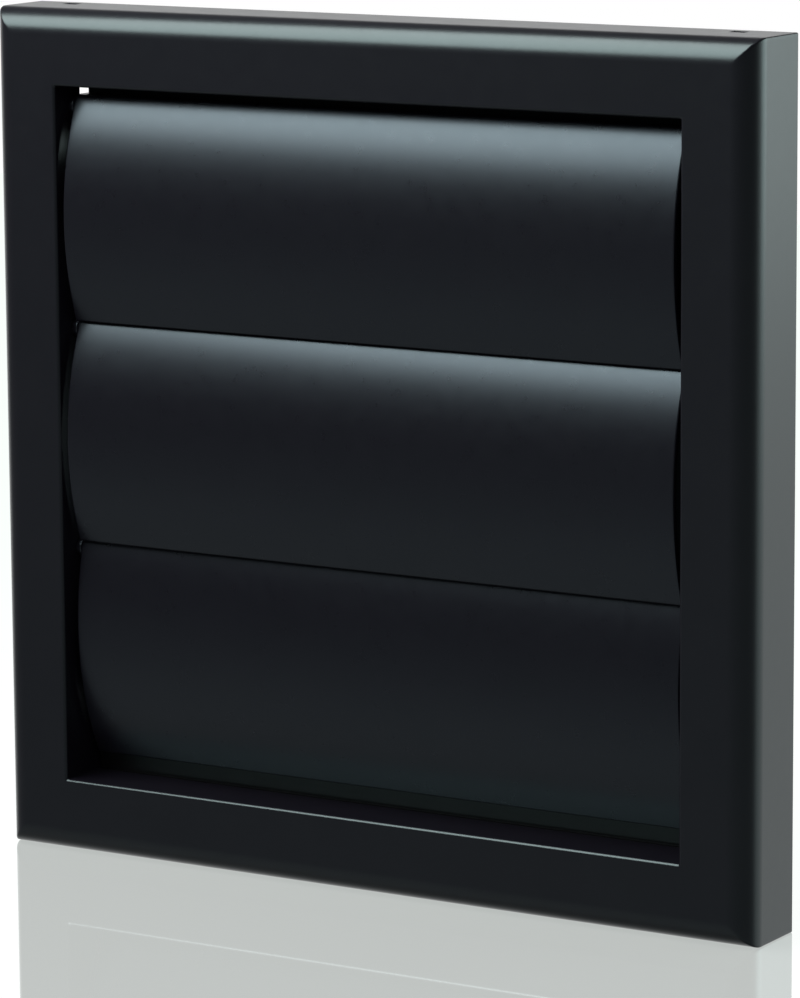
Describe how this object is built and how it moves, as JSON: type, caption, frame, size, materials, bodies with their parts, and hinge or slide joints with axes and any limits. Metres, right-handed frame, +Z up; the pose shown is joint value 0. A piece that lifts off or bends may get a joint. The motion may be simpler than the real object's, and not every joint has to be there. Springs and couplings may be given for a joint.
{
  "type": "gravity flap wall vent",
  "caption": "Square wall vent with a round-edged frame, bowed gravity flaps on pins and a back plate with a round duct spigot.",
  "frame": {"origin": "middle of the duct on the wall plane, which is the back face of the wall plate and of the frame", "axes": "+Y into the wall along the duct, +Z up, +X to the right seen from the front; the face looks along -Y"},
  "size_m": [0.154, 0.0459, 0.154],
  "materials": {
    "frame_plastic": "satin black moulding",
    "flap_plastic": "satin black moulding",
    "plate_plastic": "plain black moulding"
  },
  "bodies": {
    "housing": {"front_frame": "frame_plastic", "wall_plate": "plate_plastic"},
    "flap_top": {"flap_top": "flap_plastic"},
    "flap_middle": {"flap_middle": "flap_plastic"},
    "flap_bottom": {"flap_bottom": "flap_plastic"}
  },
  "joints": [
    {"name": "flap_top_hinge", "type": "hinge", "parent": "housing", "child": "flap_top", "pos_m": [0, -0.01038, 0.0595], "axis": [-1, 0, 0], "range_deg": [0, 60]},
    {"name": "flap_middle_hinge", "type": "hinge", "parent": "housing", "child": "flap_middle", "pos_m": [0, -0.01038, 0.0193], "axis": [-1, 0, 0], "range_deg": [0, 60]},
    {"name": "flap_bottom_hinge", "type": "hinge", "parent": "housing", "child": "flap_bottom", "pos_m": [0, -0.01038, -0.0209], "axis": [-1, 0, 0], "range_deg": [0, 60]}
  ]
}
